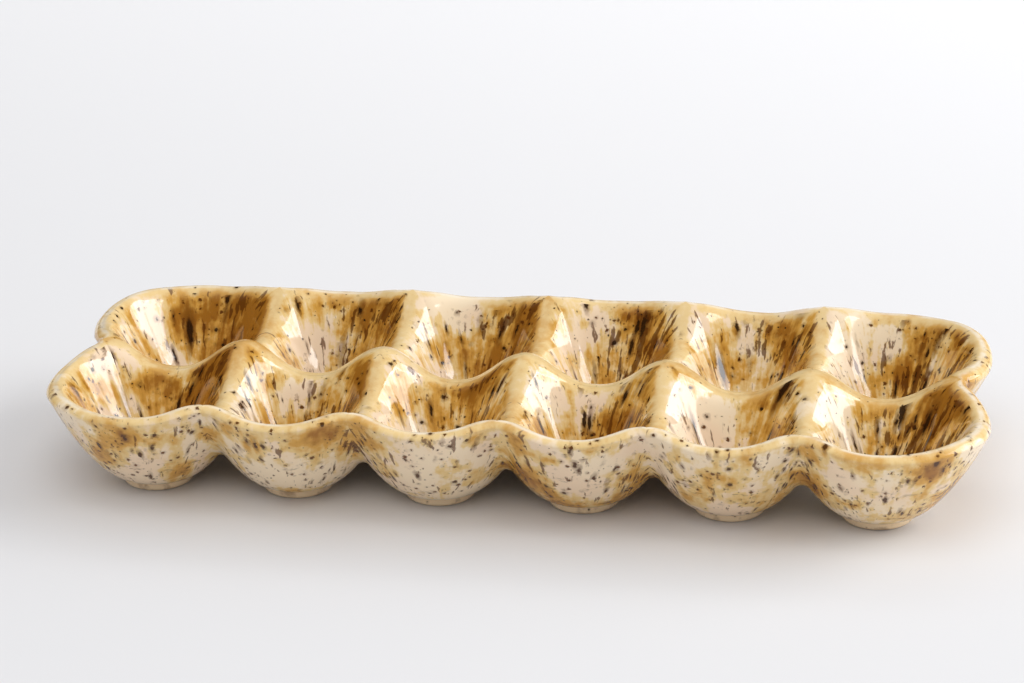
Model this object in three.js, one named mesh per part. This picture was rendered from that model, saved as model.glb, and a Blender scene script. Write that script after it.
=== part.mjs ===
// Ceramic egg crate: two rows of thrown cups, luted side by side along flat seams, each on a turned foot.
// Millimetres, +Z up. The crate stands on z = 0, centred on the origin, with its rows along X.

import * as THREE from "three";

// Layout of the cups
const CUPS_PER_ROW = 6;
const CUP_PITCH = 47;
const ROW_PITCH = 53;
const SEAM_CLEARANCE = 0.3;

// Foot under each cup
const FOOT_RADIUS = 11.7;
const FOOT_HEIGHT = 3;
const FOOT_EDGE = 1.5;

// Outside of a cup: a bowl that is BOWL_HEIGHT high where its radius is BOWL_RADIUS
const BOWL_RADIUS = 34.5;
const BOWL_HEIGHT = 33;
// 1 is a straight cone, more is a rounder bowl
const BOWL_FULLNESS = 1.65;
// How far in height two neighbouring bowls run into each other at BOWL_HEIGHT, and less further down
const VALLEY_BLEND = 13;

// Inside of a cup
const FLOOR_THICKNESS = 4.8;
// More is a roomier well with steeper walls
const WELL_FULLNESS = 3.3;
// 2 is a narrow ridge between two wells, more is a broader one
const RIDGE_BREADTH = 2.3;

// Lip round the open edge, from its crest to its outer edge
const LIP_WIDTH = 3;
const LIP_DROP = 2;

// Heights of the crests above the table
const PEAK_HEIGHT = 38.5;
const SADDLE_HEIGHT = 27.8;
const JUNCTION_HEIGHT = 38.5;
const RIM_HEIGHT = 35.2;
const END_HEIGHT = 37;
const RIDGE_SADDLE_HEIGHT = 28.5;
// Distance from a row's middle line to the notch in the rim where two cups join
const NOTCH_REACH = 28;
// How much wider the dips along a crest are than the peaks between them
const CREST_WAVE = 2.5;
// The same for a ridge where it falls away behind a notch
const NOTCH_WAVE = 5;

// Number of steps that a curve is drawn with
const SEAM_STEPS = 8;
const RIM_STEPS = 12;
const END_STEPS = 20;
const WALL_STEPS = 8;
const LIP_STEPS = 2;
const BOWL_STEPS = 4;
const FOOT_STEPS = 20;
// How closely an edge is found by halving, in millimetres or radians
const SEARCH_TOLERANCE = 1e-9;

const GLAZE = { color: 0xc8a78d, roughness: 0.2, metalness: 0 };
const BARE_CLAY = { color: 0xb9a08a, roughness: 0.75, metalness: 0 };

const lerp = THREE.MathUtils.lerp;

// The lower of two heights, rounded off where they are close to each other
function blendedLower(a, b) {
  const lower = Math.min(a, b);
  const blend = VALLEY_BLEND * Math.sqrt(lower / BOWL_HEIGHT);
  const closeness = Math.max(blend - Math.abs(a - b), 0) / blend;
  return lower - (closeness * closeness * blend) / 4;
}

// Height of one bowl's outside at a distance from its axis
function bowlHeight(radius) {
  const share = Math.max(radius - FOOT_RADIUS, 0) / (BOWL_RADIUS - FOOT_RADIUS);
  return FOOT_HEIGHT + (BOWL_HEIGHT - FOOT_HEIGHT) * share ** BOWL_FULLNESS;
}

// Share of a well's depth that is left beside a wall, at a share of the way from the axis to that wall
function wallFade(share) {
  return (1 - Math.min(Math.abs(share), 1) ** WELL_FULLNESS) ** RIDGE_BREADTH;
}

// One cup of a row, in its own frame: its axis at the origin, u along the row and v away from the other row
class Cup {
  // endSide is 1 or -1 where that side along u is an end of the crate, and 0 inside a row
  constructor(endSide) {
    this.endSide = endSide;
  }

  // Distance from the axis to the nearest seam in a direction
  seamReach(angle) {
    const alongRow = Math.cos(angle);
    const acrossRows = -Math.sin(angle);
    let reach = Infinity;
    if (alongRow !== 0 && Math.sign(alongRow) !== this.endSide) {
      reach = (CUP_PITCH - SEAM_CLEARANCE) / 2 / Math.abs(alongRow);
    }
    if (acrossRows > 0) {
      reach = Math.min(reach, (ROW_PITCH - SEAM_CLEARANCE) / 2 / acrossRows);
    }
    return reach;
  }

  // Height of the ridges and of the rim over a point, before the wells are sunk between them
  crestHeight(u, v) {
    const outward = Math.abs(v + ROW_PITCH / 2);
    const across = Math.min(outward / (ROW_PITCH / 2 + BOWL_RADIUS), 1);
    const low = lerp(SADDLE_HEIGHT, RIM_HEIGHT, across);
    let high = lerp(END_HEIGHT, RIM_HEIGHT, across);
    if (this.endSide * u <= 0) {
      const toNotch = Math.min(outward / (ROW_PITCH / 2 + NOTCH_REACH), 1);
      const turn = Math.cos(Math.PI * toNotch);
      const swing = Math.abs(turn) ** (turn > 0 ? CREST_WAVE : NOTCH_WAVE);
      high = lerp(RIDGE_SADDLE_HEIGHT, lerp(PEAK_HEIGHT, JUNCTION_HEIGHT, toNotch), swing);
    }
    const wave = Math.abs(Math.sin((Math.PI * u) / CUP_PITCH)) ** CREST_WAVE;
    return lerp(low, high, wave);
  }

  // Height of the underside over a point, where the cup's bowl runs into the bowls next to it
  undersideHeight(u, v) {
    const otherRow = v + ROW_PITCH;
    let own = bowlHeight(Math.hypot(u, v));
    let opposite = bowlHeight(Math.hypot(u, otherRow));
    if (Math.sign(u) !== this.endSide) {
      const nextCup = CUP_PITCH - Math.abs(u);
      own = blendedLower(own, bowlHeight(Math.hypot(nextCup, v)));
      opposite = blendedLower(opposite, bowlHeight(Math.hypot(nextCup, otherRow)));
    }
    return blendedLower(own, opposite);
  }

  // Distance from the axis to the lip's outer edge in a direction, found by halving
  lipReach(angle) {
    let inside = FOOT_RADIUS;
    let outside = BOWL_RADIUS + CUP_PITCH;
    while (outside - inside > SEARCH_TOLERANCE) {
      const reach = (inside + outside) / 2;
      const u = reach * Math.cos(angle);
      const v = reach * Math.sin(angle);
      if (this.undersideHeight(u, v) < this.crestHeight(u, v) - LIP_DROP) {
        inside = reach;
      } else {
        outside = reach;
      }
    }
    return inside;
  }

  // Angle between two directions where the lip, drawn in by a width, leaves the seam
  lipAngle(seamAngle, freeAngle, drawnIn) {
    let onSeam = seamAngle;
    let free = freeAngle;
    while (Math.abs(free - onSeam) > SEARCH_TOLERANCE) {
      const angle = (onSeam + free) / 2;
      if (this.lipReach(angle) - drawnIn > this.seamReach(angle)) {
        onSeam = angle;
      } else {
        free = angle;
      }
    }
    return (onSeam + free) / 2;
  }

  // Height of the inside over a point: the crests, with the well sunk between the lip and the seams
  insideHeight(u, v, lipCrest) {
    let depth = wallFade(Math.hypot(u, v) / Math.min(lipCrest, BOWL_RADIUS));
    if (Math.sign(u) !== this.endSide) {
      depth *= wallFade(u / (CUP_PITCH / 2));
    }
    if (v < 0) {
      depth *= wallFade(v / (ROW_PITCH / 2));
    }
    return lerp(this.crestHeight(u, v), FOOT_HEIGHT + FLOOR_THICKNESS, depth);
  }

  // Directions of the sections, anticlockwise, with one at each corner and at each end of the lip
  sectionAngles() {
    if (this.endSide === -1) {
      return new Cup(1).sectionAngles().map((angle) => Math.PI - angle).reverse();
    }
    const corner = Math.atan2(ROW_PITCH - SEAM_CLEARANCE, CUP_PITCH - SEAM_CLEARANCE);
    const outward = Math.PI / 2;
    const spans = [[corner - Math.PI, SEAM_STEPS]];
    if (this.endSide === 1) {
      spans.push([this.lipAngle(-outward, 0, LIP_WIDTH), 1]);
      spans.push([this.lipAngle(-outward, 0, 0), END_STEPS]);
    } else {
      spans.push([-corner, SEAM_STEPS]);
      spans.push([this.lipAngle(0, outward, LIP_WIDTH), 1]);
      spans.push([this.lipAngle(0, outward, 0), RIM_STEPS]);
    }
    spans.push([this.lipAngle(Math.PI, outward, 0), 1]);
    spans.push([this.lipAngle(Math.PI, outward, LIP_WIDTH), SEAM_STEPS]);

    const angles = [];
    spans.forEach(([start, steps], index) => {
      const end = index + 1 < spans.length ? spans[index + 1][0] : spans[0][0] + 2 * Math.PI;
      for (let step = 0; step < steps; step += 1) {
        angles.push(lerp(start, end, step / steps));
      }
    });
    return angles;
  }

  // Outline of the wall in one direction, from the middle of the floor over the crest to the foot
  section(angle) {
    const along = Math.cos(angle);
    const outward = Math.sin(angle);
    const at = (radius, height) => new THREE.Vector3(radius * along, radius * outward, height);
    const underside = (radius) => this.undersideHeight(radius * along, radius * outward);
    const seam = this.seamReach(angle);
    const lip = this.lipReach(angle);
    const lipCrest = lip - LIP_WIDTH;
    const crest = Math.min(lipCrest, seam);
    const edge = Math.min(lip, seam);
    const crestTop = this.crestHeight(crest * along, crest * outward);
    const edgeBottom = underside(edge);

    const points = [at(0, FOOT_HEIGHT + FLOOR_THICKNESS)];
    for (let step = 1; step <= WALL_STEPS; step += 1) {
      const radius = (crest * step) / WALL_STEPS;
      points.push(at(radius, this.insideHeight(radius * along, radius * outward, lipCrest)));
    }
    for (let step = 1; step <= LIP_STEPS; step += 1) {
      const turn = (Math.PI / 2) * (step / LIP_STEPS);
      const radius = Math.min(crest + LIP_WIDTH * Math.sin(turn), edge);
      points.push(at(radius, lerp(edgeBottom, crestTop, Math.cos(turn))));
    }
    for (let step = 1; step <= BOWL_STEPS; step += 1) {
      const radius = lerp(edge, FOOT_RADIUS, step / BOWL_STEPS);
      points.push(at(radius, underside(radius)));
    }
    points.push(at(0, FOOT_HEIGHT));
    return points;
  }

  geometry() {
    return loft(this.sectionAngles().map((angle) => this.section(angle)));
  }
}

// Closed solid through sections round an axis, which all start at one point of it and end at another
function loft(sections) {
  const rows = sections[0].length - 2;
  const points = [sections[0][0], sections[0][rows + 1]];
  for (const section of sections) {
    points.push(...section.slice(1, -1));
  }
  const top = 0;
  const bottom = 1;
  const indices = [];
  sections.forEach((_, side) => {
    const here = 2 + side * rows;
    const next = 2 + ((side + 1) % sections.length) * rows;
    indices.push(top, here, next);
    for (let row = 0; row < rows - 1; row += 1) {
      indices.push(here + row, here + row + 1, next + row + 1);
      indices.push(here + row, next + row + 1, next + row);
    }
    indices.push(here + rows - 1, bottom, next + rows - 1);
  });
  const geometry = new THREE.BufferGeometry().setFromPoints(points);
  geometry.setIndex(indices);
  geometry.computeVertexNormals();
  return geometry;
}

// Turned foot with an eased lower edge, on the table and under the flat base of its cup
function footGeometry() {
  const outline = [
    new THREE.Vector2(0, 0),
    new THREE.Vector2(FOOT_RADIUS - FOOT_EDGE, 0),
    new THREE.Vector2(FOOT_RADIUS, FOOT_EDGE),
    new THREE.Vector2(FOOT_RADIUS, FOOT_HEIGHT),
    new THREE.Vector2(0, FOOT_HEIGHT),
  ];
  return new THREE.LatheGeometry(outline, FOOT_STEPS).rotateX(Math.PI / 2);
}

function namedMesh(name, geometry, finish) {
  const mesh = new THREE.Mesh(geometry, new THREE.MeshStandardMaterial(finish));
  mesh.name = name;
  return mesh;
}

// One row of cups and feet on the +Y side, numbered by a function of the cup's place along X
function cupRow(rowName, numberOf) {
  const row = new THREE.Group();
  for (let place = 0; place < CUPS_PER_ROW; place += 1) {
    const number = numberOf(place);
    const centre = (place - (CUPS_PER_ROW - 1) / 2) * CUP_PITCH;
    const endSide = (place === CUPS_PER_ROW - 1) - (place === 0);
    const cup = namedMesh(`cup_${rowName}_${number}`, new Cup(endSide).geometry(), GLAZE);
    const foot = namedMesh(`foot_${rowName}_${number}`, footGeometry(), BARE_CLAY);
    for (const piece of [cup, foot]) {
      piece.position.set(centre, ROW_PITCH / 2, 0);
      row.add(piece);
    }
  }
  return row;
}

// Both rows are alike, and the front one is the rear one turned round
const crate = new THREE.Group();
const rearRow = cupRow("rear", (place) => place + 1);
const frontRow = cupRow("front", (place) => CUPS_PER_ROW - place);
frontRow.rotation.z = Math.PI;
crate.add(rearRow, frontRow);

export default crate;
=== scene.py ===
"""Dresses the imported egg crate: twelve glazed cups on twelve small feet, seen as in the photograph.

Metres, +Z up, the rows along X. Every finished piece sits at the origin with its place in its mesh.
"""

from __future__ import annotations

import logging
import math
from dataclasses import dataclass
from enum import Enum
from functools import cache, partial, reduce

import bpy
import numpy as np
from mathutils import Matrix, Vector, kdtree, noise


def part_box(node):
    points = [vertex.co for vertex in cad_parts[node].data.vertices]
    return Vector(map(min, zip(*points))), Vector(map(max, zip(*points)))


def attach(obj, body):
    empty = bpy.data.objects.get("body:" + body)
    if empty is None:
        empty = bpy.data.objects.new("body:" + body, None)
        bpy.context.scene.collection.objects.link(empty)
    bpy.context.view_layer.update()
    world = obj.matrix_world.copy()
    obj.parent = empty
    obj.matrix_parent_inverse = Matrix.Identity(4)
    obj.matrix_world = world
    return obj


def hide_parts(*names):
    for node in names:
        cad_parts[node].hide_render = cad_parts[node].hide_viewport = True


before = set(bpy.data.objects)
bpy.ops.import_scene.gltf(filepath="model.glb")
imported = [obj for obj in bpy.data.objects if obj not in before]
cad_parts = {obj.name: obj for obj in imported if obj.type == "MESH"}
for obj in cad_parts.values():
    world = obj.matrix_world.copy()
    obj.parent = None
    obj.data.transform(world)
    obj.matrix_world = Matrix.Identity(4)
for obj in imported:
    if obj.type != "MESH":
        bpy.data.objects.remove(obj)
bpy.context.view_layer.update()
LOG = logging.getLogger("egg_crate")
Array = np.ndarray
Numbers = Array | float
Pair = tuple[float, float]
Triple = tuple[float, float, float]

MM = 0.001
HALVINGS = 44
SEAM_TOLERANCE = 1e-7
LEAST_SLOPE = 1e-12
HALF_DRUM_STEP = 0.5
MEETING_DISTANCE = 2e-6


class Row(Enum):
    """The two rows of cups, by the side of the crate that they stand on."""

    FRONT = "front"
    REAR = "rear"


class End(Enum):
    """Which side of a cup, along its row, is an end of the crate."""

    LEFT = -1
    NONE = 0
    RIGHT = 1


@dataclass(frozen=True)
class CrateSizes:
    """Sizes of the crate in metres, the same as in the solids."""

    cups_per_row: int = 6
    cup_pitch: float = 47 * MM
    row_pitch: float = 53 * MM
    foot_radius: float = 11.7 * MM
    foot_height: float = 3 * MM
    bowl_radius: float = 34.5 * MM
    bowl_height: float = 33 * MM
    bowl_fullness: float = 1.65
    valley_blend: float = 13 * MM
    floor_thickness: float = 4.8 * MM
    well_fullness: float = 3.3
    ridge_breadth: float = 2.3
    lip_width: float = 3 * MM
    lip_drop: float = 2 * MM
    peak_height: float = 38.5 * MM
    saddle_height: float = 27.8 * MM
    junction_height: float = 38.5 * MM
    rim_height: float = 35.2 * MM
    end_height: float = 37 * MM
    ridge_saddle_height: float = 28.5 * MM
    notch_reach: float = 28 * MM
    crest_wave: float = 2.5
    notch_wave: float = 5.0


@dataclass(frozen=True)
class CupSteps:
    """How finely a cup is drawn: sections round it, and rings along each section."""

    seam: int = 30
    rim: int = 44
    end: int = 84
    wall: int = 44
    lip: int = 9
    bowl: int = 28
    crest_crowding: float = 1.5

    @property
    def rings(self) -> int:
        """Number of rings between the middle of the floor and the middle of the base."""
        return self.wall + self.lip + self.bowl


def lerp(start: Numbers, stop: Numbers, share: Numbers) -> Numbers:
    """Value at a share of the way from start to stop."""
    return start + (stop - start) * share


def smoothstep(value: Numbers, low: float, high: float) -> Numbers:
    """Share from 0 at low to 1 at high, level at both."""
    share = np.clip((value - low) / (high - low), 0.0, 1.0)
    return share * share * (3.0 - 2.0 * share)


def polar(radius: Array, angle: Array) -> tuple[Array, Array]:
    """Places along the row and across the rows, from distances and directions from a cup's axis."""
    return radius * np.cos(angle), radius * np.sin(angle)


@dataclass(frozen=True)
class CupForm:
    """Shape of one cup in its own frame: its axis at the origin, u along the row, v away from the other row."""

    sizes: CrateSizes
    end: End

    def blended_lower(self, a: Array, b: Array) -> Array:
        """The lower of two heights, rounded off where they are close to each other."""
        lower = np.minimum(a, b)
        blend = self.sizes.valley_blend * np.sqrt(lower / self.sizes.bowl_height)
        closeness = np.maximum(blend - np.abs(a - b), 0.0) / blend
        return lower - closeness * closeness * blend / 4.0

    def bowl_height(self, radius: Array) -> Array:
        """Height of one bowl's outside at a distance from its axis."""
        s = self.sizes
        share = np.maximum(radius - s.foot_radius, 0.0) / (s.bowl_radius - s.foot_radius)
        return s.foot_height + (s.bowl_height - s.foot_height) * share**s.bowl_fullness

    def seam_reach(self, angle: Array) -> Array:
        """Distance from the axis to the nearest seam in each direction."""
        along, across = np.cos(angle), -np.sin(angle)
        reach = np.full_like(angle, np.inf)
        beside = (np.abs(along) > LEAST_SLOPE) & (np.sign(along) != self.end.value)
        reach[beside] = self.sizes.cup_pitch / 2.0 / np.abs(along[beside])
        behind = across > LEAST_SLOPE
        reach[behind] = np.minimum(reach[behind], self.sizes.row_pitch / 2.0 / across[behind])
        return reach

    def crest_height(self, u: Array, v: Array) -> Array:
        """Height of the ridges and of the rim over each point."""
        s = self.sizes
        half_row = s.row_pitch / 2.0
        outward = np.abs(v + half_row)
        across = np.minimum(outward / (half_row + s.bowl_radius), 1.0)
        to_notch = np.minimum(outward / (half_row + s.notch_reach), 1.0)
        turn = np.cos(np.pi * to_notch)
        swing = np.abs(turn) ** np.where(turn > 0, s.crest_wave, s.notch_wave)
        ridge = lerp(s.ridge_saddle_height, lerp(s.peak_height, s.junction_height, to_notch), swing)
        high = np.where(self.end.value * u > 0, lerp(s.end_height, s.rim_height, across), ridge)
        low = lerp(s.saddle_height, s.rim_height, across)
        wave = np.abs(np.sin(np.pi * u / s.cup_pitch)) ** s.crest_wave
        return lerp(low, high, wave)

    def underside_height(self, u: Array, v: Array) -> Array:
        """Height of the underside over each point, where the bowl runs into the bowls next to it."""
        joined = np.sign(u) != self.end.value
        rows = []
        for across in (v, v + self.sizes.row_pitch):
            alone = self.bowl_height(np.hypot(u, across))
            beside = self.bowl_height(np.hypot(self.sizes.cup_pitch - np.abs(u), across))
            rows.append(np.where(joined, self.blended_lower(alone, beside), alone))
        return self.blended_lower(*rows)

    def lip_reach(self, angle: Array) -> Array:
        """Distance from the axis to the lip's outer edge in each direction, found by halving."""
        s = self.sizes
        inside = np.full_like(angle, s.foot_radius)
        outside = np.full_like(angle, s.bowl_radius + s.cup_pitch)
        for _ in range(HALVINGS):
            reach = (inside + outside) / 2.0
            u, v = polar(reach, angle)
            below = self.underside_height(u, v) < self.crest_height(u, v) - s.lip_drop
            inside = np.where(below, reach, inside)
            outside = np.where(below, outside, reach)
        return inside

    def lip_angles(self, seam_angle: float, free_angle: float, steps: CupSteps) -> list[float]:
        """Directions in which the lip's rings, from the crest outwards, leave the seam, found by halving."""
        turns = np.linspace(0.0, math.pi / 2.0, steps.lip + 1)
        drawn_in = self.sizes.lip_width * (1.0 - np.sin(turns))
        on_seam, free = np.full_like(drawn_in, seam_angle), np.full_like(drawn_in, free_angle)
        for _ in range(HALVINGS):
            angle = (on_seam + free) / 2.0
            beyond = self.lip_reach(angle) - drawn_in > self.seam_reach(angle)
            on_seam, free = np.where(beyond, angle, on_seam), np.where(beyond, free, angle)
        return list((on_seam + free) / 2.0)

    def wall_fade(self, share: Array) -> Array:
        """Share of the well's depth left beside a wall, at a share of the way from the axis to it."""
        s = self.sizes
        return (1.0 - np.minimum(np.abs(share), 1.0) ** s.well_fullness) ** s.ridge_breadth

    def inside_height(self, u: Array, v: Array, lip_crest: Array) -> Array:
        """Height of the inside over each point: the crests, with the well sunk between the lip and the seams.

        Args:
            u: Places along the row.
            v: Places across the rows.
            lip_crest: Distance from the axis to the lip's crest in the direction of each point.

        Returns:
            Heights above the table.
        """
        s = self.sizes
        depth = self.wall_fade(np.hypot(u, v) / np.minimum(lip_crest, s.bowl_radius))
        depth = np.where(np.sign(u) != self.end.value, depth * self.wall_fade(u / (s.cup_pitch / 2.0)), depth)
        depth = np.where(v < 0, depth * self.wall_fade(v / (s.row_pitch / 2.0)), depth)
        return lerp(self.crest_height(u, v), s.foot_height + s.floor_thickness, depth)

    def section_angles(self, steps: CupSteps) -> Array:
        """Directions of the sections, anticlockwise, with one at each corner and where a ring leaves a seam."""
        s = self.sizes
        if self.end is End.LEFT:
            return (math.pi - CupForm(s, End.RIGHT).section_angles(steps))[::-1]
        corner = math.atan2(s.row_pitch, s.cup_pitch)
        outward = math.pi / 2.0
        spans = [(corner - math.pi, steps.seam)]
        if self.end is End.RIGHT:
            spans += [(angle, 1) for angle in self.lip_angles(-outward, 0.0, steps)]
            spans[-1] = (spans[-1][0], steps.end)
        else:
            spans.append((-corner, steps.seam))
            spans += [(angle, 1) for angle in self.lip_angles(0.0, outward, steps)]
            spans[-1] = (spans[-1][0], steps.rim)
        spans += [(angle, 1) for angle in self.lip_angles(math.pi, outward, steps)[::-1]]
        spans[-1] = (spans[-1][0], steps.seam)
        starts = [start for start, _ in spans] + [spans[0][0] + 2.0 * math.pi]
        runs = [np.linspace(starts[i], starts[i + 1], n, endpoint=False) for i, (_, n) in enumerate(spans)]
        return np.concatenate(runs)

    @cache
    def sections(self, steps: CupSteps) -> Array:
        """Points of all the rings, from the middle of the floor over the crest to the foot.

        Args:
            steps: How finely the cup is drawn.

        Returns:
            Points as an array of sections, rings and coordinates.
        """
        s = self.sizes
        angle = self.section_angles(steps)
        seam, lip = self.seam_reach(angle), self.lip_reach(angle)
        crest, edge = np.minimum(lip - s.lip_width, seam), np.minimum(lip, seam)
        crest_top = self.crest_height(*polar(crest, angle))
        edge_bottom = self.underside_height(*polar(edge, angle))
        lip_bottom = self.underside_height(*polar(lip, angle))
        quarter = math.pi / 2.0
        cut = np.arcsin(np.clip((edge - crest) / s.lip_width, 0.0, 1.0))
        cut_height = lerp(lip_bottom, crest_top, np.cos(cut))
        radii, heights = [], []
        for step in range(1, steps.wall + 1):
            radius = crest * (1.0 - (1.0 - step / steps.wall) ** steps.crest_crowding)
            radii.append(radius)
            heights.append(self.inside_height(*polar(radius, angle), lip - s.lip_width))
        for step in range(1, steps.lip + 1):
            turn = quarter * step / steps.lip
            radii.append(np.minimum(crest + s.lip_width * math.sin(turn), edge))
            down_seam = np.clip((turn - cut) / np.maximum(quarter - cut, SEAM_TOLERANCE), 0.0, 1.0)
            on_lip = lerp(lip_bottom, crest_top, math.cos(turn))
            heights.append(np.where(turn > cut, lerp(cut_height, edge_bottom, down_seam), on_lip))
        for step in range(1, steps.bowl + 1):
            radius = lerp(edge, s.foot_radius, step / steps.bowl)
            radii.append(radius)
            heights.append(self.underside_height(*polar(radius, angle)))
        radii, heights = np.stack(radii, axis=1), np.stack(heights, axis=1)
        return np.stack([*polar(radii, angle[:, None]), heights], axis=2)


@dataclass(frozen=True)
class Swell:
    """A soft rise or shift of the clay round one spot, left by the hand that made it, in millimetres."""

    at: Pair
    spread: Pair
    push: Triple


@dataclass(frozen=True)
class HandMade:
    """The small unevenness of a hand-built crate, the same for every piece at one point of space."""

    swells: tuple[Swell, ...] = (
        Swell((124.0, 34.0), (34.0, 26.0), (-1.0, 0.0, 2.6)),
        Swell((-140.0, -22.0), (18.0, 26.0), (-0.9, 0.0, 0.0)),
        Swell((140.0, -22.0), (18.0, 26.0), (0.8, 0.0, 0.0)),
        Swell((-140.0, 26.0), (18.0, 26.0), (0.3, 0.0, 0.0)),
        Swell((-94.0, 50.0), (13.0, 14.0), (0.0, 0.0, -1.5)),
        Swell((94.0, 0.0), (13.0, 13.0), (0.0, 0.0, -1.3)),
        Swell((23.5, 0.0), (14.0, 10.0), (0.0, 0.0, 0.9)),
        Swell((70.5, 0.0), (14.0, 10.0), (0.0, 0.0, 0.6)),
        Swell((25.0, 58.0), (17.0, 12.0), (0.0, 0.0, 1.1)),
        Swell((78.0, 58.0), (14.0, 12.0), (0.0, 0.0, -1.3)),
    )
    wobble: float = 0.35 * MM
    wobble_length: float = 26 * MM
    ripple: float = 0.10 * MM
    ripple_length: float = 9 * MM
    full_height: float = 34 * MM
    still_height: float = 3 * MM
    seed: int = 7

    def moved(self, points: Array) -> Array:
        """The points, moved by the swells and by a slow wobble that dies out towards the feet.

        Args:
            points: World positions, one per line.

        Returns:
            The moved positions.
        """
        lift = smoothstep(points[:, 2], self.still_height, self.full_height)[:, None]
        shift = np.zeros_like(points)
        for swell in self.swells:
            share = ((points[:, :2] / MM - swell.at) / swell.spread) ** 2
            shift += np.exp(-share.sum(axis=1))[:, None] * np.array(swell.push) * MM
        noise.seed_set(self.seed)
        for size, length in ((self.wobble, self.wobble_length), (self.ripple, self.ripple_length)):
            drawn = [noise.noise_vector(Vector(p) / length) for p in points]
            shift += size * np.array(drawn)
        return points + shift * lift


class Bench:
    """Modelling steps that several pieces share."""

    @staticmethod
    def clear_selection() -> None:
        """Deselects everything, so that an operator reaches only the new piece."""
        if bpy.context.object and bpy.context.object.mode != "OBJECT":
            bpy.ops.object.mode_set(mode="OBJECT")
        bpy.ops.object.select_all(action="DESELECT")

    @staticmethod
    def select(obj: bpy.types.Object, part: str, test: Array) -> None:
        """Selects the vertices or edges that a test marks, and enters edit mode on them.

        Args:
            obj: The active mesh object, in object mode.
            part: "vertices" or "edges".
            test: One truth value for each of them.
        """
        mesh = obj.data
        for group in (mesh.vertices, mesh.edges, mesh.polygons):
            group.foreach_set("select", np.zeros(len(group), dtype=bool))
        getattr(mesh, part).foreach_set("select", test)
        bpy.context.tool_settings.mesh_select_mode = (part == "vertices", part == "edges", False)
        bpy.ops.object.mode_set(mode="EDIT")

    @staticmethod
    def read(group: bpy.types.bpy_prop_collection, name: str, width: int, kind: type = float) -> Array:
        """Reads one property of every vertex, edge, face or corner of a mesh.

        Args:
            group: The collection that is read.
            name: The property's name.
            width: Numbers that each item has.
            kind: Type of a number.

        Returns:
            One line per item, or a flat array where the width is 1.
        """
        flat = np.empty(len(group) * width, dtype=kind)
        group.foreach_get(name, flat)
        return flat.reshape(-1, width) if width > 1 else flat

    @staticmethod
    def hand_over(obj: bpy.types.Object, node: str, slot: str) -> None:
        """Puts a finished piece in the frame in place of its solid.

        Args:
            obj: The finished piece.
            node: Name of the solid that it stands for.
            slot: Not used.
        """
        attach(obj, "root")
        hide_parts(node)
        LOG.info("%s: %d faces", obj.name, len(obj.data.polygons))


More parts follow.
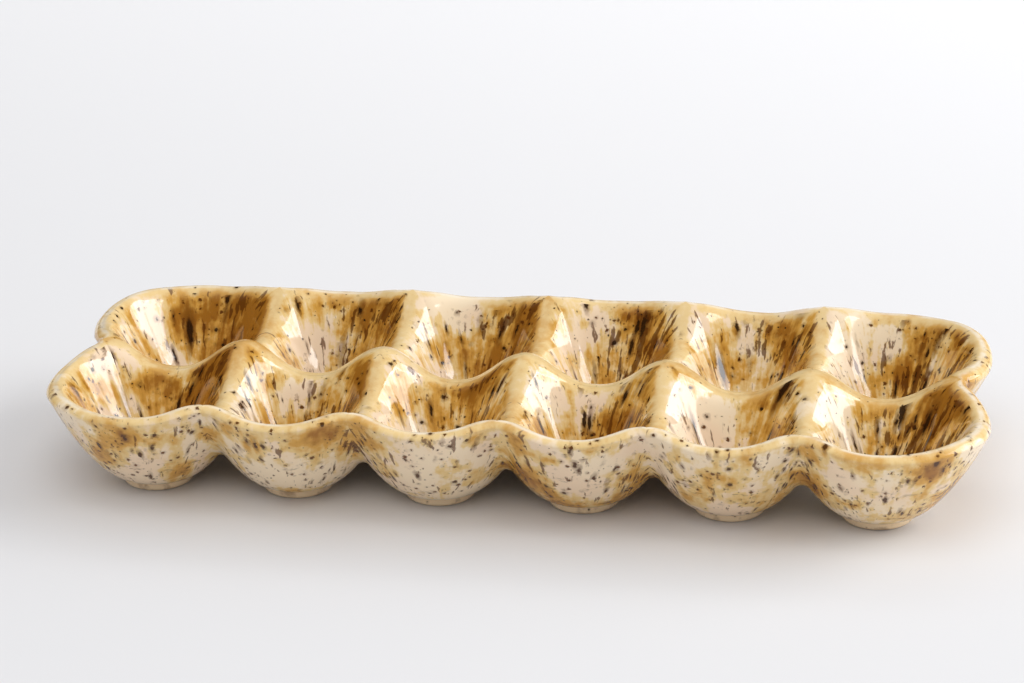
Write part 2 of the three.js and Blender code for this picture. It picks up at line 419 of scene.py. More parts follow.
@dataclass
class Cup:
    """One glazed cup: a drum of rings, pressed into the well, the lip and the bowl."""

    sizes: CrateSizes
    steps: CupSteps
    hand: HandMade
    row: Row
    number: int

    @property
    def node(self) -> str:
        """Name of the solid that the cup stands for."""
        return f"cup_{self.row.value}_{self.number}"

    @property
    def facing(self) -> int:
        """1 in the rear row and -1 in the front row, which is the rear one turned round."""
        return 1 if self.row is Row.REAR else -1

    @property
    def end(self) -> End:
        """The cup's free side along its row, in the cup's own frame."""
        side = (self.number == self.sizes.cups_per_row) - (self.number == 1)
        return End(side * self.facing)

    @property
    def centre(self) -> Pair:
        """Place of the cup's axis."""
        x = (self.number - (self.sizes.cups_per_row + 1) / 2.0) * self.sizes.cup_pitch
        return (x, self.facing * self.sizes.row_pitch / 2.0)

    def drum(self, sections: int) -> bpy.types.Object:
        """A closed drum, active and in object mode, with a ring of vertices for each ring of the cup."""
        rings = self.steps.rings
        Bench.clear_selection()
        bpy.ops.mesh.primitive_cylinder_add(
            vertices=sections, radius=1.0, depth=rings - 1.0, end_fill_type="TRIFAN", location=(0.0, 0.0, 0.0)
        )
        obj = bpy.context.object
        ends = Bench.read(obj.data.edges, "vertices", 2, int)
        height = Bench.read(obj.data.vertices, "co", 3)[:, 2]
        Bench.select(obj, "edges", np.abs(height[ends[:, 0]] - height[ends[:, 1]]) > HALF_DRUM_STEP)
        bpy.ops.mesh.subdivide(number_cuts=rings - 2)
        bpy.ops.object.mode_set(mode="OBJECT")
        return obj

    def on_seam(self, points: Array) -> Array:
        """Marks, for each of the three seam planes, the points of the cup's frame that lie on it."""
        half_pitch, half_row = self.sizes.cup_pitch / 2.0, self.sizes.row_pitch / 2.0
        offsets = (points[..., 0] - half_pitch, points[..., 0] + half_pitch, points[..., 1] + half_row)
        return np.abs(np.stack(offsets, axis=-1)) < SEAM_TOLERANCE

    def build(self) -> bpy.types.Object:
        """Presses the drum into the cup and marks each vertex with its place on the glaze's run.

        Returns:
            The cup, in its place in the crate, before its finish.
        """
        table = CupForm(self.sizes, self.end).sections(self.steps)
        sections, rings = table.shape[:2]
        obj = self.drum(sections)
        obj.name = obj.data.name = f"glazed_{self.node}"
        mesh = obj.data
        drum = Bench.read(mesh.vertices, "co", 3)
        pole = np.hypot(drum[:, 0], drum[:, 1]) < HALF_DRUM_STEP
        turn = np.arctan2(drum[:, 1], drum[:, 0]) / (2.0 * math.pi / sections)
        section = np.round(turn - turn[~pole][0] % 1.0).astype(int) % sections
        spot = (section, np.round((rings - 1) / 2.0 - drum[:, 2]).astype(int))
        local = table[spot]
        top, bottom = pole & (drum[:, 2] > 0), pole & (drum[:, 2] < 0)
        local[top] = (0.0, 0.0, self.sizes.foot_height + self.sizes.floor_thickness)
        local[bottom] = (0.0, 0.0, self.sizes.foot_height)

        world = local * (self.facing, self.facing, 1.0) + (*self.centre, 0.0)
        mesh.vertices.foreach_set("co", self.hand.moved(world).ravel())
        self.mark_run(mesh, table, spot, top)
        self.cut_lip(obj, table, spot, pole)
        self.mark_seam(mesh, local)
        mesh.polygons.foreach_set("use_smooth", np.ones(len(mesh.polygons), dtype=bool))
        mesh.update()
        return obj

    def cut_lip(self, obj: bpy.types.Object, table: Array, spot: tuple[Array, Array],
                pole: Array) -> None:
        """Cuts the faces of the lip along the line where it runs into a seam.

        Args:
            obj: The cup.
            table: Points of the rings, by section and ring, in the cup's frame.
            spot: Section and ring of each vertex.
            pole: Marks the two vertices on the axis.
        """
        flat = self.on_seam(table).any(axis=2)
        leaves = flat & ~(np.roll(flat, 1, axis=0) & np.roll(flat, -1, axis=0))
        crest = self.steps.wall - 1
        leaves[:, :crest] = False
        leaves[:, crest + self.steps.lip + 1:] = False
        Bench.select(obj, "vertices", leaves[spot] & ~pole)
        bpy.ops.mesh.vert_connect()
        bpy.ops.object.mode_set(mode="OBJECT")

    def mark_run(self, mesh: bpy.types.Mesh, table: Array, spot: tuple[Array, Array],
                 top: Array) -> None:
        """Stores how far the glaze has run from the crest, and over which point of the crest.

        Args:
            mesh: The cup's mesh.
            table: Points of the rings, by section and ring, in the cup's frame.
            spot: Section and ring of each vertex.
            top: Marks the vertex in the middle of the floor.
        """
        crest_ring = self.steps.wall - 1
        section, ring = spot
        lengths = np.linalg.norm(np.diff(table, axis=1), axis=2)
        along = np.concatenate([np.zeros((len(table), 1)), np.cumsum(lengths, axis=1)], axis=1)
        fall = np.abs(along - along[:, crest_ring:crest_ring + 1])[spot]
        fall[top] += np.hypot(*table[0, 0, :2])
        crest = table[section, crest_ring, :2] * self.facing + self.centre
        inside = (ring <= crest_ring).astype(float)
        lip = 1.0 - self.on_seam(table[:, crest_ring]).any(axis=1)[section]
        run = np.column_stack([crest, fall])
        mesh.attributes.new("run", "FLOAT_VECTOR", "POINT").data.foreach_set("vector", run.ravel())
        for name, values in (("inside", inside), ("lip", lip)):
            mesh.attributes.new(name, "FLOAT", "POINT").data.foreach_set("value", values)

    def mark_seam(self, mesh: bpy.types.Mesh, local: Array) -> None:
        """Marks the flat faces that meet the neighbours, by the vertices' places before the hand moved them."""
        corner = Bench.read(mesh.loops, "vertex_index", 1, int)
        first = Bench.read(mesh.polygons, "loop_start", 1, int)
        flat = np.logical_and.reduceat(self.on_seam(local)[corner], first, axis=0).any(axis=1)
        mesh.attributes.new("seam", "BOOLEAN", "FACE").data.foreach_set("value", flat)


@dataclass
class Foot:
    """The small turned foot under a cup: a disc with an eased lower edge."""

    sizes: CrateSizes
    row: Row
    number: int
    sides: int = 72
    edge: float = 1.7 * MM
    edge_steps: int = 7
    smooth_angle: float = 40.0

    @property
    def node(self) -> str:
        """Name of the solid that the foot stands for."""
        return f"foot_{self.row.value}_{self.number}"

    def build(self) -> bpy.types.Object:
        """Turns the foot from a disc.

        Returns:
            The foot, in its place under its cup, before its finish.
        """
        low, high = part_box(self.node)
        centre = (low + high) / 2.0
        Bench.clear_selection()
        bpy.ops.mesh.primitive_cylinder_add(
            vertices=self.sides, radius=self.sizes.foot_radius, depth=self.sizes.foot_height, location=centre
        )
        obj = bpy.context.object
        obj.name = obj.data.name = f"turned_{self.node}"
        bpy.ops.object.transform_apply(location=True, rotation=False, scale=False)
        ends = Bench.read(obj.data.edges, "vertices", 2, int)
        height = Bench.read(obj.data.vertices, "co", 3)[:, 2]
        Bench.select(obj, "edges", (height[ends] < centre.z).all(axis=1))
        bpy.ops.mesh.bevel(offset=self.edge, segments=self.edge_steps, profile=0.5, affect="EDGES")
        bpy.ops.object.mode_set(mode="OBJECT")
        Bench.clear_selection()
        obj.select_set(True)
        bpy.ops.object.shade_smooth_by_angle(angle=math.radians(self.smooth_angle))
        return obj


@dataclass
class SharedNormals:
    """Shades the cups as one piece of clay: where two meet, both take the same normal."""

    meshes: list[bpy.types.Mesh]

    def apply(self) -> None:
        """Works out the shared normals and sets them on every cup."""
        sums, spots = [], []
        for index, mesh in enumerate(self.meshes):
            normals, edge = self.own_normals(mesh)
            sums.append(normals)
            points = Bench.read(mesh.vertices, "co", 3)
            spots.extend((index, vertex, points[vertex]) for vertex in np.flatnonzero(edge))
        tree = kdtree.KDTree(len(spots))
        for number, (_, _, point) in enumerate(spots):
            tree.insert(point, number)
        tree.balance()
        shared = []
        for index, vertex, point in spots:
            near = [spots[number] for _, number, _ in tree.find_range(point, MEETING_DISTANCE)]
            shared.append((index, vertex, sum(sums[i][v] for i, v, _ in near)))
        for index, vertex, total in shared:
            sums[index][vertex] = total
        for mesh, normals in zip(self.meshes, sums):
            self.set_normals(mesh, normals)

    @staticmethod
    def corners(mesh: bpy.types.Mesh) -> tuple[Array, Array]:
        """Vertex and face of each corner of a mesh."""
        vertex = Bench.read(mesh.loops, "vertex_index", 1, int)
        totals = Bench.read(mesh.polygons, "loop_total", 1, int)
        return vertex, np.repeat(np.arange(len(totals)), totals)

    @staticmethod
    def own_normals(mesh: bpy.types.Mesh) -> tuple[Array, Array]:
        """Sums of the face normals round each vertex, seam faces left out.

        Args:
            mesh: A cup's mesh.

        Returns:
            The sums, and a mark on each vertex that lies on a seam.
        """
        vertex, face = SharedNormals.corners(mesh)
        seam = Bench.read(mesh.attributes["seam"].data, "value", 1, bool)
        weight = Bench.read(mesh.polygons, "area", 1) * ~seam
        faces = Bench.read(mesh.polygons, "normal", 3) * weight[:, None]
        sums = np.zeros((len(mesh.vertices), 3))
        np.add.at(sums, vertex, faces[face])
        edge = np.zeros(len(mesh.vertices), dtype=bool)
        edge[vertex[seam[face]]] = True
        return sums, edge

    @staticmethod
    def set_normals(mesh: bpy.types.Mesh, sums: Array) -> None:
        """Sets a cup's normals: shared ones outside, flat ones on its seams.

        Args:
            mesh: The cup's mesh.
            sums: One summed normal per vertex.
        """
        vertex, face = SharedNormals.corners(mesh)
        length = np.linalg.norm(sums, axis=1, keepdims=True)
        unit = sums / np.where(length > 0, length, 1.0)
        seam = Bench.read(mesh.attributes["seam"].data, "value", 1, bool)
        flat = seam[face] | (length[vertex, 0] == 0)
        own = Bench.read(mesh.polygons, "normal", 3)[face]
        mesh.normals_split_custom_set(np.where(flat[:, None], own, unit[vertex]).tolist())


Socket = bpy.types.NodeSocket
Source = Socket | float | tuple
Colour = tuple[float, float, float, float]


def paint(red: int, green: int, blue: int) -> Colour:
    """Colour for a shader from the eight-bit sRGB values that a picture shows."""
    parts = (value / 255.0 for value in (red, green, blue))
    linear = [p / 12.92 if p <= 0.04045 else ((p + 0.055) / 1.055) ** 2.4 for p in parts]
    return (*linear, 1.0)


@dataclass(frozen=True)
class Scatter:
    """How one layer of specks is scattered. Lengths are in millimetres, shares are of the places for a speck."""

    pitch: float
    radii: Pair
    crowd_length: float
    few: float
    many: float
    crowd_edge: Pair = (0.42, 0.60)
    small_bias: float = 1.6
    core_edge: Pair = (0.6, 1.05)
    halo_edge: Pair = (0.5, 2.4)


class NodeBench:
    """Lays out the nodes of one finish and links them."""

    def __init__(self, name: str) -> None:
        """Starts a finish with a shader and its output."""
        self.material = bpy.data.materials.new(name)
        self.material.use_nodes = True
        self.tree = self.material.node_tree
        self.tree.nodes.clear()
        output = self.tree.nodes.new("ShaderNodeOutputMaterial")
        self.shader = self.tree.nodes.new("ShaderNodeBsdfPrincipled")
        self.tree.links.new(self.shader.outputs["BSDF"], output.inputs["Surface"])

    def feed(self, socket: Socket, source: Source) -> None:
        """Links a socket to another one, or sets its value."""
        if isinstance(source, Socket):
            self.tree.links.new(source, socket)
        else:
            socket.default_value = source

    def dress(self, inputs: dict[str, Source]) -> None:
        """Feeds the shader's inputs, by name."""
        for name, source in inputs.items():
            self.feed(self.shader.inputs[name], source)

    def node(self, kind: str, inputs: dict[int | str, Source], **settings: str | bool) -> bpy.types.Node:
        """Adds a node.

        Args:
            kind: Type of the node.
            inputs: What each input is fed with, by number or name.
            **settings: The node's own options.

        Returns:
            The new node.
        """
        node = self.tree.nodes.new(kind)
        for name, value in settings.items():
            setattr(node, name, value)
        for key, source in inputs.items():
            self.feed(node.inputs[key], source)
        return node

    def place(self) -> Socket:
        """Place on the crate, in millimetres."""
        return self.in_mm(self.node("ShaderNodeTexCoord", {}).outputs["Object"])

    def mark(self, name: str) -> bpy.types.NodeOutputs:
        """A value that is stored on the mesh."""
        return self.node("ShaderNodeAttribute", {}, attribute_name=name).outputs

    def parts(self, vector: Source) -> bpy.types.NodeOutputs:
        """The three numbers of a vector."""
        return self.node("ShaderNodeSeparateXYZ", {0: vector}).outputs

    def scaled(self, vector: Source, factors: Triple) -> Socket:
        """A vector with each number multiplied by a factor."""
        return self.node("ShaderNodeVectorMath", {0: vector, 1: factors}, operation="MULTIPLY").outputs[0]

    def in_mm(self, vector: Source) -> Socket:
        """A vector of metres, in millimetres."""
        return self.scaled(vector, (1.0 / MM,) * 3)

    def drawn_out(self, vector: Source, factor: float) -> Socket:
        """A place whose third number is multiplied, which draws out a pattern or presses it together."""
        return self.scaled(vector, (1.0, 1.0, factor))

    def moved(self, vector: Source, shift: Source) -> Socket:
        """The sum of two vectors."""
        return self.node("ShaderNodeVectorMath", {0: vector, 1: shift}, operation="ADD").outputs[0]

    def shaken(self, vector: Source, length: float, size: float) -> Socket:
        """A place moved about by noise, so that what is drawn there has ragged edges.

        Args:
            vector: The place, in millimetres.
            length: Length of the noise, in millimetres.
            size: How far it moves a place, in millimetres.

        Returns:
            The moved place.
        """
        drawn = self.noise(vector, length, 3.0, output="Color")
        centred = self.moved(drawn, (-0.5, -0.5, -0.5))
        return self.moved(vector, self.scaled(centred, (2.0 * size,) * 3))

    def math(self, operation: str, a: Source, b: Source) -> Socket:
        """One sum on two numbers."""
        return self.node("ShaderNodeMath", {0: a, 1: b}, operation=operation).outputs[0]

    def less(self, a: Source, b: Source) -> Socket:
        """The first number less the second."""
        return self.math("SUBTRACT", a, b)

    def product(self, *sources: Source) -> Socket:
        """The product of several numbers."""
        return reduce(partial(self.math, "MULTIPLY"), sources)

    def total(self, *sources: Source) -> Socket:
        """The sum of several numbers."""
        return reduce(partial(self.math, "ADD"), sources)

    def ramp(self, value: Source, low: Source, high: Source, start: Source = 0.0, stop: Source = 1.0) -> Socket:
        """A soft step of a number, from start where it is low to stop where it is high."""
        inputs = {0: value, 1: low, 2: high, 3: start, 4: stop}
        return self.node("ShaderNodeMapRange", inputs, interpolation_type="SMOOTHSTEP").outputs[0]

    def noise(self, vector: Source, length: float, detail: float = 2.0, roughness: float = 0.5,
              output: str = "Fac") -> Socket:
        """Soft clouds.

        Args:
            vector: Place, in millimetres.
            length: Length of a cloud, in millimetres.
            detail: How many finer clouds lie on it.
            roughness: How strong those are.
            output: Which output is used.

        Returns:
            The clouds, round one half.
        """
        inputs = {"Vector": vector, "Scale": 1.0 / length, "Detail": detail, "Roughness": roughness}
        return self.node("ShaderNodeTexNoise", inputs).outputs[output]

    def specks(self, vector: Source, scatter: Scatter, where: Source = 1.0) -> tuple[Socket, Socket]:
        """Scattered specks of different sizes, crowded together in some places.

        Args:
            vector: Place, in millimetres.
            scatter: How the specks are scattered.
            where: Factor on the share of places that have a speck.

        Returns:
            The specks and the stain round them.
        """
        cells = self.node("ShaderNodeTexVoronoi", {"Vector": vector, "Scale": 1.0 / scatter.pitch}).outputs
        draws = self.parts(cells["Color"])
        crowd = self.noise(cells["Position"], scatter.crowd_length, 1.0)
        share = self.ramp(crowd, *scatter.crowd_edge, scatter.few, scatter.many)
        present = self.math("LESS_THAN", draws[0], self.product(share, where))
        smallest, largest = (radius / scatter.pitch for radius in scatter.radii)
        radius = self.ramp(self.math("POWER", draws[1], scatter.small_bias), 0.0, 1.0, smallest, largest)
        distance = self.math("DIVIDE", cells["Distance"], radius)
        core = self.product(self.ramp(distance, *scatter.core_edge, 1.0, 0.0), present)
        halo = self.product(self.ramp(distance, *scatter.halo_edge, 1.0, 0.0), present)
        return core, halo

    def mix(self, share: Source, a: Source, b: Source) -> Socket:
        """A colour between two others."""
        return self.node("ShaderNodeMix", {0: share, 6: a, 7: b}, data_type="RGBA").outputs[2]

    def dent(self, height: Source, strength: Source, depth: float) -> None:
        """Dents the surface a little, by a height and the depth in metres that it stands for."""
        bump = self.node("ShaderNodeBump", {"Height": height, "Strength": strength, "Distance": depth})
        self.dress({"Normal": bump.outputs["Normal"]})


@dataclass(frozen=True)
class GlazeMap:
    """Where a point lies on its cup, for the layers of the glaze. Lengths are in millimetres, the rest are shares."""

    place: Socket
    along: Socket
    across: Socket
    height: Socket
    fall: Socket
    inside: Socket
    outside: Socket
    lip: Socket
    pinch: Socket
    mottle: Socket
    well: Socket
    wall: Socket
    side: Socket
    shaded: Socket
    clear: Socket


@dataclass(frozen=True)
class StainsAndShade:
    """What deepens the glaze's colour, from cream over straw and amber to ochre, and by how much, with painted shade
    on the wells' right walls.
    """

    even: float = 0.525
    lip: float = 0.03
    belly: float = -0.004
    belly_per_mm: float = 0.0001
    well: float = 0.118
    well_per_mm: float = -0.0004
    # Deeper colour on the wells' right walls, which face away from the window: painted shade, not a stain.
    right_wall_shade: float = 0.12
    ridge: float = 0.04
    floor: float = -0.07
    pinch: float = 0.09
    mottle: float = 0.16
    wall_streaks: float = 0.50
    belly_streaks: float = 0.20


@dataclass(frozen=True)
class SpeckledGlaze:
    """Glossy cream glaze that breaks to amber, with dark specks that have run down the walls.

    In the methods, b is the bench that lays out the nodes, m tells where a point lies on its cup, and colour is the
    glaze so far.
    """

    sizes: CrateSizes
    stains_and_shade: StainsAndShade = StainsAndShade()
    cream: Colour = paint(244, 223, 191)
    blush: Colour = paint(241, 215, 184)
    straw: Colour = paint(232, 200, 138)
    amber: Colour = paint(212, 160, 74)
    ochre: Colour = paint(161, 106, 34)
    brown: Colour = paint(92, 48, 11)
    dark: Colour = paint(44, 25, 10)
    slate: Colour = paint(58, 54, 52)
    # Pale crest colour: partly glaze worn thin on the edges, partly a painted highlight along the lip.
    crest: Colour = paint(246, 236, 218)
    refraction: float = 1.62
    mirror: Pair = (0.30, 0.75)
    roughness: Pair = (0.05, 0.12)
    inside_apart: float = 500.0
    end_margin: float = 0.1

    def chart(self, b: NodeBench) -> GlazeMap:
        """Works out where a point lies on its cup, once for all the layers."""
        pitch = self.sizes.cup_pitch / MM
        last = self.sizes.cups_per_row * pitch / 2.0 - self.end_margin
        place, run = b.place(), b.in_mm(b.mark("run")["Vector"])
        across, _, height = b.parts(place)
        fall = b.parts(run)[2]
        inside = b.mark("inside")["Fac"]
        outside = b.less(1.0, inside)
        apart = b.node("ShaderNodeCombineXYZ", {0: b.product(inside, self.inside_apart)}).outputs[0]
        seam = b.math("PINGPONG", across, pitch / 2.0)
        pinch = b.product(outside, b.ramp(seam, 1.0, 8.0, 1.0, 0.0), b.ramp(height, 7.0, 14.0),
                          b.ramp(height, 24.0, 32.0, 1.0, 0.0))
        mottle = b.less(b.noise(place, 3.2, 3.0, 0.6), 0.5)
        well = b.product(inside, b.ramp(fall, 1.2, 6.5))
        between_ends = b.math("MAXIMUM", b.math("MINIMUM", across, last), -last)
        local = b.less(b.math("FLOORED_MODULO", between_ends, pitch), pitch / 2.0)
        # side runs from -1 on a well's left wall to 1 on its right wall; the right walls face away from the window
        # and are painted deeper as shade.
        side = b.ramp(b.total(local, b.product(mottle, 10.0)), -13.0, 15.0, -1.0, 1.0)
        return GlazeMap(
            place=place, along=b.moved(run, apart), across=across, height=height, fall=fall, inside=inside,
            outside=outside, lip=b.mark("lip")["Fac"], pinch=pinch, mottle=mottle, well=well,
            # shaded weights the dark runs and dashes towards the right walls, partly as painted shade.
            wall=b.product(well, b.ramp(height, 9.0, 13.5)), side=side, shaded=b.ramp(side, -0.8, 0.4, 0.35, 1.0),
            clear=b.ramp(height, 4.5, 11.0, 0.15, 1.0))

    def ground(self, b: NodeBench, m: GlazeMap) -> Socket:
        """The glaze without its brown marks: even along the crests, deeper in the wells, and painted darker on their
        right walls as shade.
        """
        s = self.stains_and_shade
        cloud = b.noise(b.drawn_out(b.shaken(m.place, 9.0, 3.0), 0.8), 17.0, 4.0, 0.55)
        streak = b.less(b.noise(b.drawn_out(m.along, 0.22), 3.2, 3.0, 0.55), 0.5)
        drip = b.noise(b.drawn_out(m.along, 0.12), 7.0, 3.0, 0.55)
        # The sum below also holds painted shade: the wells' right walls are deepened through side.
        stain = b.total(
            b.product(b.less(cloud, s.even), b.ramp(m.fall, 1.5, 6.0, 0.4, 1.25)), s.even,
            b.product(m.outside, b.ramp(b.less(b.product(drip, 30.0), m.fall), 0.0, 5.0), s.lip),
            b.product(m.outside, b.total(b.product(m.across, s.belly_per_mm), s.belly)),
            b.product(m.well, b.total(b.product(m.across, s.well_per_mm), b.product(m.side, s.right_wall_shade), s.well)),
            b.product(b.less(1.0, m.lip), b.ramp(m.fall, 0.0, 7.0, s.ridge, 0.0)),
            b.product(m.inside, b.ramp(m.height, 9.0, 20.0, s.floor, 0.0)),
            b.product(m.pinch, s.pinch), b.product(m.mottle, s.mottle),
            b.product(streak, b.total(b.product(m.wall, s.wall_streaks), b.product(m.outside, s.belly_streaks))))
        colour = b.mix(b.ramp(b.noise(m.place, 26.0), 0.42, 0.58), self.cream, self.blush)
        for edge, tint in (((0.44, 0.53), self.straw), ((0.52, 0.64), self.amber), ((0.62, 0.80), self.ochre)):
            colour = b.mix(b.ramp(stain, *edge), colour, tint)
        return colour

    def marked(self, b: NodeBench, m: GlazeMap, colour: Socket) -> Socket:
        """Lays on the scribbles of the bowls, the streaks that ran down the walls and the pale crests, partly glaze
        worn thin and partly a painted highlight along the lip.
        """
        brushed = b.noise(b.drawn_out(b.shaken(m.place, 10.0, 3.0), 4.5), 7.0, 4.0, 0.65)
        scribble = b.product(b.ramp(brushed, 0.56, 0.66), m.outside, b.ramp(m.height, 14.0, 26.0, 1.0, 0.0),
                             b.ramp(b.noise(m.place, 13.0, 1.0), 0.44, 0.56))
        colour = b.mix(b.product(scribble, 0.6), colour, self.brown)

        crowd = b.ramp(b.noise(b.drawn_out(m.place, 0.5), 14.0, 1.0), 0.42, 0.58)
        walls = b.total(b.product(m.wall, m.shaded), b.product(m.pinch, 0.4),
                        b.product(m.outside, m.clear, b.ramp(m.fall, 2.0, 6.0, 0.0, 0.38)))
        flames = b.noise(b.drawn_out(b.shaken(m.along, 6.0, 1.6), 0.30), 2.5, 3.0)
        running = b.ramp(b.total(flames, b.product(crowd, walls, 0.17)), 0.66, 0.73)
        colour = b.mix(b.product(running, 0.80), colour, self.brown)

        # Pales the lip's crest and, more faintly, every crest: partly glaze worn thin, partly a painted highlight.
        rubbed_and_highlit = b.ramp(b.noise(m.place, 6.0), 0.38, 0.58, 0.2, 0.6)
        rubbed_and_highlit_lip = b.product(m.lip, b.ramp(m.fall, 0.2, 1.6, 1.0, 0.0), rubbed_and_highlit)
        return b.mix(b.total(rubbed_and_highlit_lip, b.ramp(m.fall, 0.5, 6.5, 0.10, 0.0)), colour, self.crest)

    def speckled(self, b: NodeBench, m: GlazeMap, colour: Socket) -> Socket:
        """Lays on the specks, from crumbs and dots to dashes that were dragged down the walls."""
        tone = b.product(m.inside, b.ramp(b.noise(m.place, 13.0), 0.64, 0.74))
        speck = b.mix(b.product(m.outside, 0.4), b.mix(tone, self.dark, self.slate), self.brown)
        tinge = b.mix(0.45, self.dark, self.brown)
        ragged = b.shaken(m.place, 1.1, 0.55)
        crumbled = b.shaken(b.moved(m.place, (31.0, 17.0, 5.0)), 1.0, 0.8)
        dragged = b.drawn_out(b.shaken(m.along, 2.0, 0.9), 0.36)
        dashed = b.drawn_out(b.shaken(m.along, 1.6, 0.8), 0.5)
        away = b.ramp(m.fall, 0.5, 5.0, 0.45, 1.0)
        crumbly = b.product(away, b.total(m.outside, b.product(m.well, 0.5)))
        sparse = b.product(away, b.ramp(m.inside, 0.0, 1.0, 0.85, 1.0))
        bellied = b.product(m.outside, m.clear, b.ramp(m.fall, 3.0, 10.0, 0.2, 1.0))
        walled = b.product(m.wall, m.shaded)
        for vector, scatter, where, halo_share, tint in (
            (crumbled, Scatter(1.9, (0.20, 0.80), 8.0, 0.04, 0.65), crumbly, 0.30, self.brown),
            (ragged, Scatter(1.4, (0.14, 0.42), 12.0, 0.03, 0.32), sparse, 0.25, speck),
            (ragged, Scatter(2.9, (0.28, 0.95), 13.0, 0.03, 0.28), sparse, 0.45, speck),
            (dashed, Scatter(2.4, (0.26, 0.95), 9.0, 0.02, 0.70), bellied, 0.6, tinge),
            (dragged, Scatter(3.2, (0.40, 1.2), 11.0, 0.16, 1.0), walled, 0.7, speck),
            (dragged, Scatter(7.0, (1.0, 2.2), 19.0, 0.15, 0.80), walled, 0.7, self.dark),
        ):
            core, halo = b.specks(vector, scatter, where)
            colour = b.mix(b.product(halo, halo_share), colour, self.brown)
            colour = b.mix(b.product(core, 0.92), colour, tint)
        return colour

    def material(self) -> bpy.types.Material:
        """Lays the glaze's colours over each other, from the pale ground to the dark specks.

        Returns:
            The finish of a cup.
        """
        b = NodeBench("speckled_glaze")
        m = self.chart(b)
        colour = self.speckled(b, m, self.marked(b, m, self.ground(b, m)))
        # Browner towards the foot, in the crease under the bowl.
        crease = b.product(m.outside, b.ramp(m.height, 3.0, 4.2, 0.40, 0.0))
        b.dress({
            "Base Color": b.mix(crease, colour, self.brown),
            "IOR": self.refraction,
            "Specular IOR Level": b.ramp(m.inside, 0.0, 1.0, *self.mirror),
            "Roughness": b.ramp(b.noise(m.place, 7.0, 3.0), 0.3, 0.7, *self.roughness),
        })
        b.dent(b.noise(m.place, 6.0), 0.12, 0.4 * MM)
        return b.material


@dataclass(frozen=True)
class FootClay:
    """Thin pale glaze on the foot's side, wiped off underneath to the bare speckled clay."""

    glaze: Colour = paint(248, 222, 184)
    clay: Colour = paint(196, 170, 142)
    brown: Colour = paint(128, 84, 48)
    dark: Colour = paint(60, 42, 30)
    specks: Scatter = Scatter(2.2, (0.18, 0.45), 12.0, 0.2, 0.5)
    roughness: Pair = (0.16, 0.8)
    grain: Pair = (0.02, 0.35)

    def material(self) -> bpy.types.Material:
        """Lays the thin glaze over the clay, browner at the top in the crease under the bowl, with fine specks.

        Returns:
            The finish of a foot.
        """
        b = NodeBench("bare_clay")
        place = b.place()
        height = b.parts(place)[2]
        wiped = b.ramp(b.total(height, b.product(b.noise(place, 2.0), 0.5)), 0.25, 0.55, 1.0, 0.0)
        core, halo = b.specks(b.shaken(place, 1.6, 0.35), self.specks)
        colour = b.mix(wiped, self.glaze, self.clay)
        for share, tint in (
            (b.ramp(b.noise(place, 5.0, 3.0), 0.48, 0.68, 0.0, 0.5), self.brown),
            # Browner towards the top, in the crease under the bowl.
            (b.ramp(height, 2.3, 3.0, 0.0, 0.40), self.brown),
            (b.product(halo, 0.35), self.brown),
            (b.product(core, 0.9), self.dark),
        ):
            colour = b.mix(share, colour, tint)
        b.dress({"Base Color": colour, "Roughness": b.ramp(wiped, 0.0, 1.0, *self.roughness)})
        b.dent(b.noise(place, 0.7, 3.0), b.ramp(wiped, 0.0, 1.0, *self.grain), 0.15 * MM)
        return b.material


@dataclass(frozen=True)
class Pane:
    """One soft light: a bright pane, turned towards what it lights."""

    name: str
    place: Triple
    size: Pair
    power: float
    aim: Triple = (0.0, 0.0, 0.0)
    spread: float = 180.0
    mirrored: bool = True
    colour: Triple = (0.97, 0.985, 1.0)

    def hang(self) -> None:
        """Hangs the pane in its place."""
        light = bpy.data.lights.new(self.name, "AREA")
        light.shape = "RECTANGLE"
        light.size, light.size_y = self.size
        light.energy = self.power
        light.spread = math.radians(self.spread)
        light.color = self.colour
        lamp = bpy.data.objects.new(self.name, light)
        lamp.visible_glossy = self.mirrored
        bpy.context.scene.collection.objects.link(lamp)
        place, aim = Vector(self.place), Vector(self.aim)
        lamp.matrix_world = Matrix.Translation(place) @ (aim - place).to_track_quat("-Z", "Y").to_matrix().to_4x4()


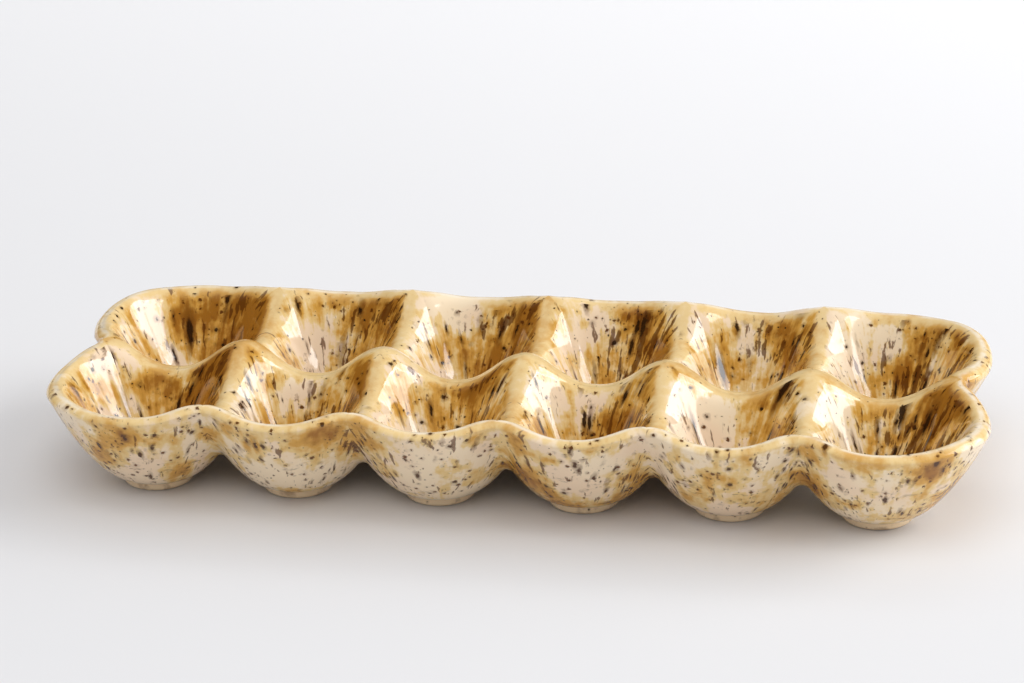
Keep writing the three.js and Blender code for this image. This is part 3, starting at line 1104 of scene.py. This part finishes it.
@dataclass(frozen=True)
class Studio:
    """The floor, the window light and the camera of the photograph."""

    frame_width: float = 1024.0
    focal_pixels: float = 3307.0
    sensor: float = 36.0
    azimuth: float = 9.58
    elevation: float = 22.02
    roll: float = -0.93
    distance: float = 1.0769
    target: Triple = (-3.73 * MM, 0.0, 43.10 * MM)
    clip: Pair = (0.05, 50.0)
    floor_size: float = 12.0
    paper: Colour = paint(224, 223, 224)
    paper_roughness: float = 0.9
    room: Colour = (0.99, 0.99, 1.0, 1.0)
    room_strength: float = 0.50
    panes: tuple[Pane, ...] = (
        Pane("window_back", (1.76, 0.94, 0.98), (1.0, 1.8), 22.0),
        Pane("window_side", (1.99, 0.0, 0.98), (0.9, 1.8), 20.0),
        Pane("front_fill", (-0.14, -0.79, 1.50), (1.5, 1.5), 12.5, mirrored=False),
        Pane("far_floor", (0.0, 0.80, 0.90), (1.8, 0.4), 2.4, aim=(0.0, 0.80, 0.0), spread=110.0, mirrored=False),
    )

    def camera(self) -> None:
        """Places the camera by the photograph's viewing angle."""
        turn, rise, tilt = (math.radians(a) for a in (self.azimuth, self.elevation, self.roll))
        back = Vector((math.sin(turn) * math.cos(rise), -math.cos(turn) * math.cos(rise), math.sin(rise)))
        level = Vector((math.cos(turn), math.sin(turn), 0.0))
        upright = back.cross(level)
        right = math.cos(tilt) * level + math.sin(tilt) * upright
        up = -math.sin(tilt) * level + math.cos(tilt) * upright
        lens = bpy.data.cameras.new("camera")
        lens.sensor_width = self.sensor
        lens.lens = self.focal_pixels / self.frame_width * self.sensor
        lens.clip_start, lens.clip_end = self.clip
        camera = bpy.data.objects.new("camera", lens)
        bpy.context.scene.collection.objects.link(camera)
        turned = Matrix((right, up, back)).transposed().to_4x4()
        camera.matrix_world = Matrix.Translation(Vector(self.target) + back * self.distance) @ turned
        bpy.context.scene.camera = camera

    def floor(self) -> None:
        """Lays the pale floor."""
        Bench.clear_selection()
        bpy.ops.mesh.primitive_plane_add(size=self.floor_size, location=(0.0, 0.0, 0.0))
        floor = bpy.context.object
        floor.name = "floor"
        b = NodeBench("pale_paper")
        b.dress({"Base Color": self.paper, "Roughness": self.paper_roughness})
        floor.data.materials.append(b.material)

    def light(self) -> None:
        """Hangs the panes of the window and sets the soft light of the room."""
        world = bpy.data.worlds.new("room")
        bpy.context.scene.world = world
        world.use_nodes = True
        background = world.node_tree.nodes["Background"]
        background.inputs["Color"].default_value = self.room
        background.inputs["Strength"].default_value = self.room_strength
        world.cycles_visibility.glossy = False
        for pane in self.panes:
            pane.hang()


def main() -> None:
    """Builds the crate's pieces in order, then the studio round them."""
    logging.basicConfig(level=logging.INFO)
    bpy.context.scene.view_settings.view_transform = "Standard"
    sizes, steps, hand = CrateSizes(), CupSteps(), HandMade()
    glaze, clay = SpeckledGlaze(sizes).material(), FootClay().material()
    cups = []
    for row in Row:
        for number in range(1, sizes.cups_per_row + 1):
            cup, foot = Cup(sizes, steps, hand, row, number), Foot(sizes, row, number)
            for maker, finish, slot in ((cup, glaze, "speckled_glaze"), (foot, clay, "bare_clay")):
                piece = maker.build()
                piece.data.materials.append(finish)
                Bench.hand_over(piece, maker.node, slot)
                if maker is cup:
                    cups.append(piece.data)
    SharedNormals(cups).apply()
    studio = Studio()
    studio.floor()
    studio.light()
    studio.camera()


if __name__ == "__main__":
    main()
